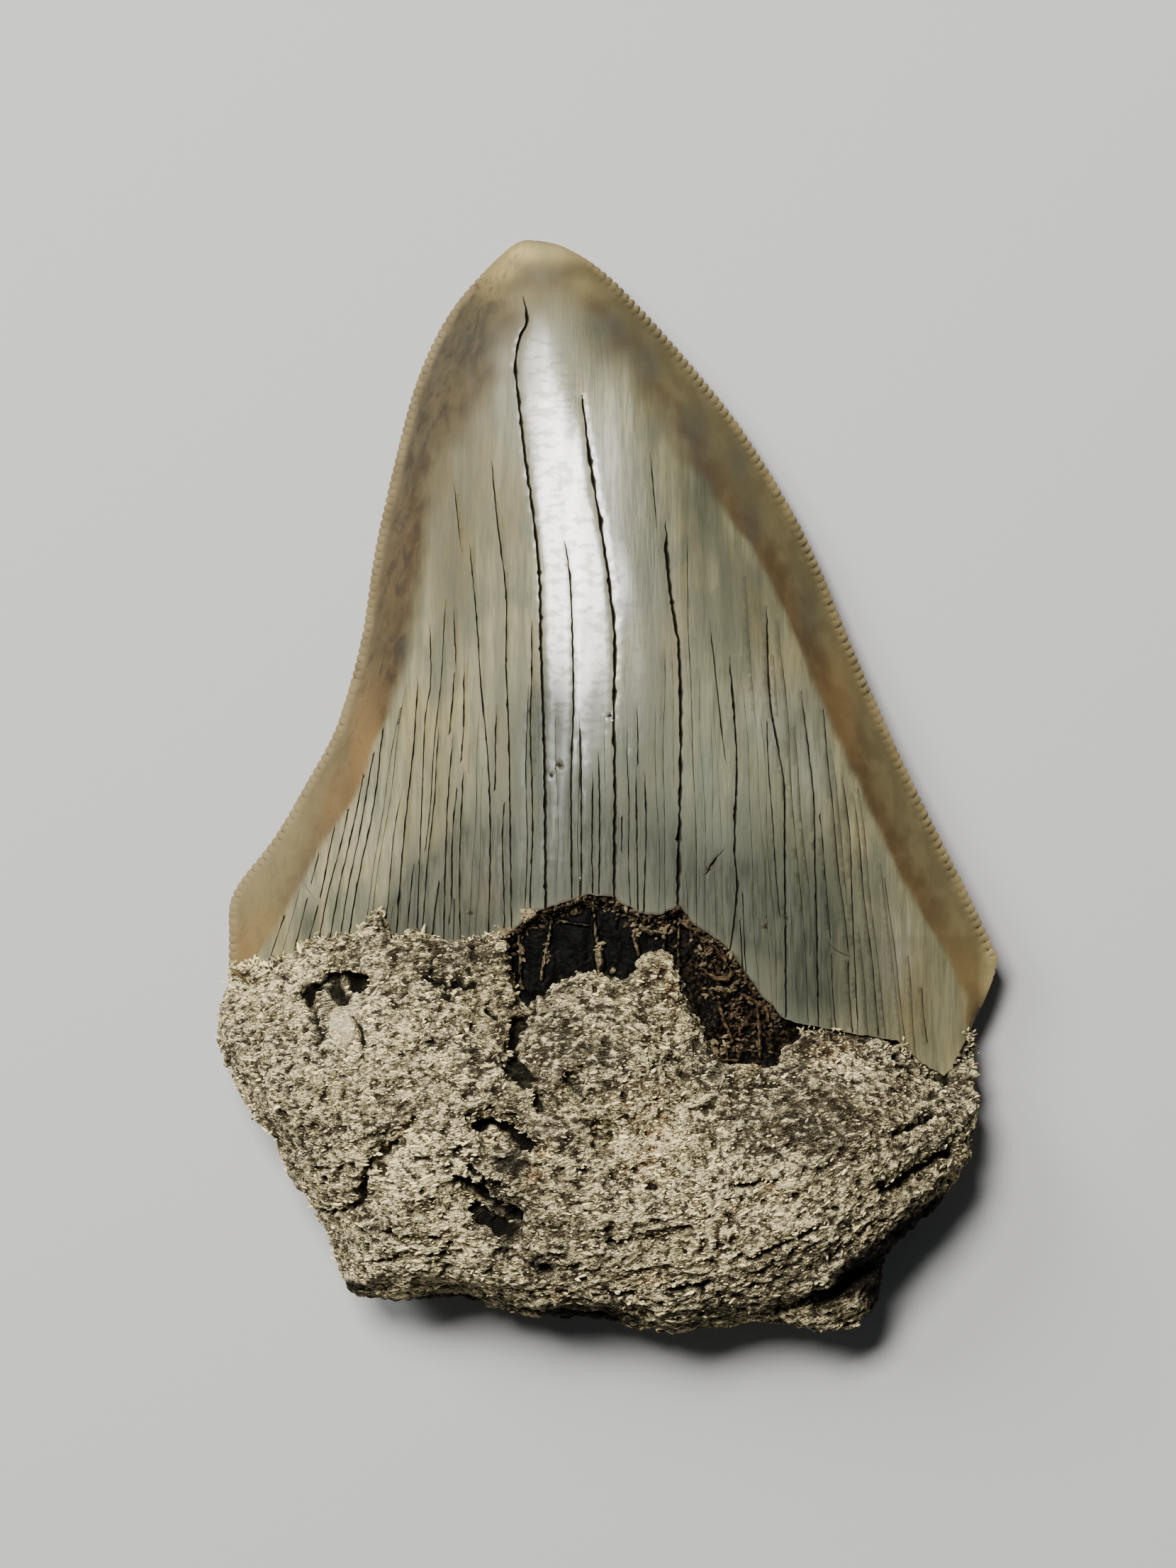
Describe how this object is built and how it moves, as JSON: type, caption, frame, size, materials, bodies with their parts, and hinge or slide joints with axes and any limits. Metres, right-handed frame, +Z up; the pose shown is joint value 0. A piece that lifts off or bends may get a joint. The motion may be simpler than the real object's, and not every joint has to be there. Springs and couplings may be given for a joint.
{
  "type": "fossil shark tooth",
  "caption": "Fossil megalodon tooth with a serrated enamel crown, a dark band of bare dentine and a rough, worn root, lying on its flat outer face.",
  "frame": {"origin": "on the resting plane, under the middle of the box around the tooth", "axes": "+Y towards the tip of the crown, +Z up, out of the domed inner face"},
  "size_m": [0.0724, 0.1016, 0.0204],
  "materials": {
    "tooth": "satin enamel on the crown, rough and porous on the root"
  },
  "bodies": {
    "root": {"tooth": "tooth"}
  },
  "joints": []
}
